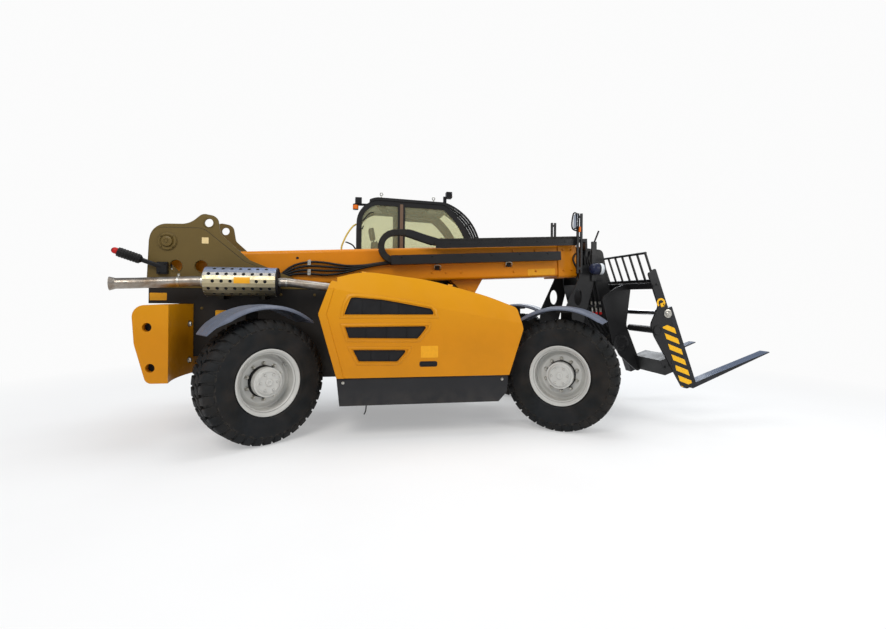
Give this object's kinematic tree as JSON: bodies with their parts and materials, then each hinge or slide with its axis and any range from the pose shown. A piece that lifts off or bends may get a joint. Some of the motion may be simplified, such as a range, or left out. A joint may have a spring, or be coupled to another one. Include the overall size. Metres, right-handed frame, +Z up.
{
  "type": "telescopic handler",
  "caption": "Heavy telescopic handler with an offset cab, side engine cover, four steered wheels, telescoping boom and tilting fork carriage.",
  "frame": {"origin": "on the ground, midway along and across the overall box", "axes": "+X forward, +Y to the machine's left, +Z up"},
  "size_m": [8.1336, 3.0544, 3.141],
  "materials": {
    "yellow_paint": "gloss enamel, weathered",
    "boom_paint": "gloss enamel",
    "black_steel": "satin enamel",
    "bronze_paint": "satin enamel",
    "dark_chassis": "satin enamel",
    "tyre_rubber": "dusty",
    "rim_paint": "satin enamel",
    "fender_plastic": "moulded",
    "skirt_plastic": "moulded",
    "glass": "clear, tinted",
    "seat_fabric": "woven",
    "heat_shield": "perforated",
    "pipe_steel": "heat stained",
    "rod_chrome": "polished",
    "fork_steel": "gloss",
    "dark_plastic": "moulded",
    "cast_iron": "painted",
    "lamp": "gloss"
  },
  "bodies": {
    "chassis": {"chassis_frame": "dark_chassis", "towers": "bronze_paint", "counterweight": "yellow_paint", "front_lamp_frame": "black_steel", "lamps": "lamp", "engine_block": "cast_iron", "side_skirt": "skirt_plastic", "side_tank": "skirt_plastic", "muffler": "heat_shield", "exhaust_pipe": "pipe_steel", "cab_frame": "black_steel", "cab_roof": "black_steel", "cab_glass": "glass", "windscreen_guard": "black_steel", "seat": "seat_fabric", "dashboard": "dark_plastic", "cab_tub": "black_steel", "steering_wheel": "dark_plastic", "axle_front": "cast_iron", "axle_rear": "cast_iron"},
    "hood": {"hood": "yellow_paint", "hood_grilles": "dark_plastic"},
    "door": {"door_frame": "black_steel", "door_glass": "glass"},
    "boom": {"outer_boom": "boom_paint", "chain_tray": "black_steel"},
    "boom_slide": {"inner_boom": "boom_paint", "boom_head": "black_steel", "chain_rail": "black_steel"},
    "chain": {"chain_loop": "dark_plastic"},
    "lift_barrel": {"lift_barrel": "black_steel"},
    "lift_rod": {"lift_rod": "rod_chrome"},
    "tilt_barrel": {"tilt_barrel": "black_steel"},
    "tilt_rod": {"tilt_rod": "rod_chrome"},
    "carriage": {"carriage_frame": "black_steel", "backrest": "black_steel", "fork_shaft": "rod_chrome", "forks": "fork_steel"},
    "steer_front_right": {"knuckle_front_right": "cast_iron", "fender_front_right": "fender_plastic"},
    "wheel_front_right": {"tyre_front_right": "tyre_rubber", "rim_front_right": "rim_paint"},
    "steer_front_left": {"knuckle_front_left": "cast_iron", "fender_front_left": "fender_plastic"},
    "wheel_front_left": {"tyre_front_left": "tyre_rubber", "rim_front_left": "rim_paint"},
    "steer_rear_right": {"knuckle_rear_right": "cast_iron", "fender_rear_right": "fender_plastic"},
    "wheel_rear_right": {"tyre_rear_right": "tyre_rubber", "rim_rear_right": "rim_paint"},
    "steer_rear_left": {"knuckle_rear_left": "cast_iron", "fender_rear_left": "fender_plastic"},
    "wheel_rear_left": {"tyre_rear_left": "tyre_rubber", "rim_rear_left": "rim_paint"}
  },
  "joints": [
    {"name": "steer_front_right", "type": "hinge", "parent": "chassis", "child": "steer_front_right", "pos_m": [1.23714, -0.88, 0.675], "axis": [0, 0, 1], "range_deg": [0, 70]},
    {"name": "spin_front_right", "type": "hinge", "parent": "steer_front_right", "child": "wheel_front_right", "pos_m": [1.1511, -1.00287, 0.675], "axis": [0.5736, 0.8192, 0], "continuous": true},
    {"name": "steer_rear_right", "type": "hinge", "parent": "chassis", "child": "steer_rear_right", "pos_m": [-2.46286, -0.88, 0.675], "axis": [0, 0, -1], "range_deg": [0, 70]},
    {"name": "spin_rear_right", "type": "hinge", "parent": "steer_rear_right", "child": "wheel_rear_right", "pos_m": [-2.37682, -1.00287, 0.675], "axis": [-0.5736, 0.8192, 0], "continuous": true},
    {"name": "steer_front_left", "type": "hinge", "parent": "chassis", "child": "steer_front_left", "pos_m": [1.23714, 0.88, 0.675], "axis": [0, 0, 1], "range_deg": [0, 70]},
    {"name": "spin_front_left", "type": "hinge", "parent": "steer_front_left", "child": "wheel_front_left", "pos_m": [1.32318, 1.00287, 0.675], "axis": [0.5736, 0.8192, 0], "continuous": true},
    {"name": "steer_rear_left", "type": "hinge", "parent": "chassis", "child": "steer_rear_left", "pos_m": [-2.46286, 0.88, 0.675], "axis": [0, 0, -1], "range_deg": [0, 70]},
    {"name": "spin_rear_left", "type": "hinge", "parent": "steer_rear_left", "child": "wheel_rear_left", "pos_m": [-2.5489, 1.00287, 0.675], "axis": [-0.5736, 0.8192, 0], "continuous": true},
    {"name": "boom_lift", "type": "hinge", "parent": "chassis", "child": "boom", "pos_m": [-3.54286, 0, 2.235], "axis": [0, -1, 0], "range_deg": [-4, 62]},
    {"name": "telescope", "type": "slide", "parent": "boom", "child": "boom_slide", "axis": [0.9988, 0, 0.0488], "range_m": [0, 3.6]},
    {"name": "chain_travel", "type": "slide", "parent": "boom", "child": "chain", "axis": [0.9988, 0, 0.0488], "range_m": [0, 1.8]},
    {"name": "lift_barrel_pivot", "type": "hinge", "parent": "chassis", "child": "lift_barrel", "pos_m": [-2.31286, 0, 1.04], "axis": [0, -1, 0], "range_deg": [-4.5, 62.52]},
    {"name": "lift_rod_slide", "type": "slide", "parent": "lift_barrel", "child": "lift_rod", "axis": [0.9669, 0, 0.2553], "range_m": [-0.11897, 1.77149]},
    {"name": "carriage_tilt", "type": "hinge", "parent": "boom_slide", "child": "carriage", "pos_m": [2.23714, 0, 1], "axis": [0, 1, 0], "range_deg": [0, 70]},
    {"name": "tilt_barrel_pivot", "type": "hinge", "parent": "boom_slide", "child": "tilt_barrel", "pos_m": [1.90714, 0, 2.05], "axis": [0, -1, 0], "range_deg": [-0.5, 14.43]},
    {"name": "tilt_rod_slide", "type": "slide", "parent": "tilt_barrel", "child": "tilt_rod", "axis": [0.4378, 0, -0.8991], "range_m": [-0.005, 0.45823]},
    {"name": "cab_door", "type": "hinge", "parent": "chassis", "child": "door", "pos_m": [-0.67286, 1.222, 1.85], "axis": [0, 0, 1], "range_deg": [0, 90]},
    {"name": "hood_lid", "type": "hinge", "parent": "chassis", "child": "hood", "pos_m": [-1.26282, -0.474, 1.894], "axis": [-0.9918, 0, 0.1282], "range_deg": [0, 60]}
  ],
  "couplings": [
    {"joint": "steer_front_left", "follows": "steer_front_right", "ratio": 1},
    {"joint": "steer_rear_left", "follows": "steer_rear_right", "ratio": 1},
    {"joint": "chain_travel", "follows": "telescope", "ratio": 0.5},
    {"joint": "lift_barrel_pivot", "follows": "boom_lift", "ratio": 1.0003},
    {"joint": "lift_rod_slide", "follows": "boom_lift", "m_per_rad": 1.6325},
    {"joint": "tilt_barrel_pivot", "follows": "carriage_tilt", "ratio": 0.199},
    {"joint": "tilt_rod_slide", "follows": "carriage_tilt", "m_per_rad": 0.37097}
  ]
}
